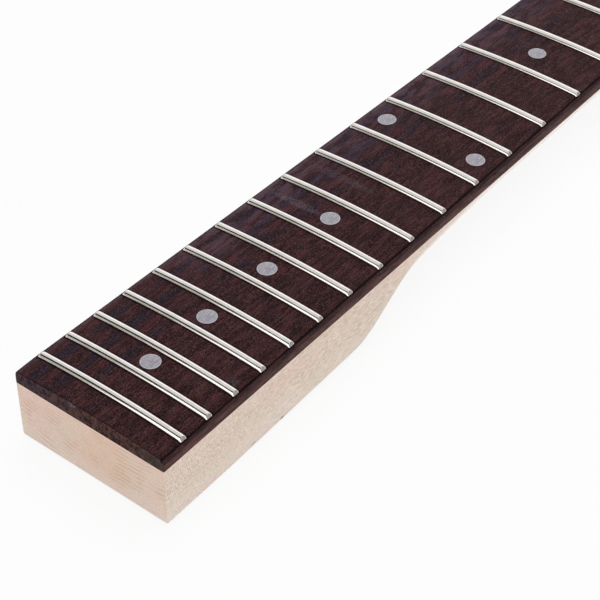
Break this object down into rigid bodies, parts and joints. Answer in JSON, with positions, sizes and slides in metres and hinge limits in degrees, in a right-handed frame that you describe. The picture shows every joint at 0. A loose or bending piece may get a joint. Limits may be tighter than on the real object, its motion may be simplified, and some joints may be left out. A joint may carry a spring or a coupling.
{
  "type": "electric guitar neck",
  "caption": "Bolt-on electric guitar neck with a square heel, radiused fingerboard, inlaid markers, frets, string nut, in-line headstock and an adjustable truss rod.",
  "frame": {"origin": "centre of the four screw pilot holes, on the heel's flat seat", "axes": "+X from the heel to the headstock, +Y to the bass side, +Z out of the fingerboard"},
  "size_m": [0.6604, 0.0656, 0.0282],
  "materials": {
    "maple": "raw sanded maple, unlacquered",
    "rosewood": "raw rosewood, satin, open pores",
    "fret_wire": "polished nickel silver",
    "pearl": "grey pearl, sanded flush",
    "bone": "polished bone-white nut material",
    "steel": "plain turned steel",
    "brass": "plain machined brass"
  },
  "bodies": {
    "neck": {"neck": "maple", "fingerboard": "rosewood", "fret_01": "fret_wire", "fret_02": "fret_wire", "fret_03": "fret_wire", "fret_04": "fret_wire", "fret_05": "fret_wire", "fret_06": "fret_wire", "fret_07": "fret_wire", "fret_08": "fret_wire", "fret_09": "fret_wire", "fret_10": "fret_wire", "fret_11": "fret_wire", "fret_12": "fret_wire", "fret_13": "fret_wire", "fret_14": "fret_wire", "fret_15": "fret_wire", "fret_16": "fret_wire", "fret_17": "fret_wire", "fret_18": "fret_wire", "fret_19": "fret_wire", "fret_20": "fret_wire", "fret_21": "fret_wire", "fret_22": "fret_wire", "marker_03": "pearl", "marker_05": "pearl", "marker_07": "pearl", "marker_09": "pearl", "marker_12_bass": "pearl", "marker_12_treble": "pearl", "marker_15": "pearl", "marker_17": "pearl", "marker_19": "pearl", "marker_21": "pearl", "side_marker_03": "pearl", "side_marker_05": "pearl", "side_marker_07": "pearl", "side_marker_09": "pearl", "side_marker_12_a": "pearl", "side_marker_12_b": "pearl", "side_marker_15": "pearl", "side_marker_17": "pearl", "side_marker_19": "pearl", "side_marker_21": "pearl", "string_nut": "bone", "truss_bar": "steel", "heel_block": "brass", "head_block": "brass"},
    "adjuster": {"truss_rod": "steel", "adjusting_nut": "steel"}
  },
  "joints": [
    {"name": "truss_rod_adjust", "type": "hinge", "parent": "neck", "child": "adjuster", "pos_m": [0.44286, 0, 0.0142], "axis": [1, 0, 0], "range_deg": [-270, 270]}
  ]
}
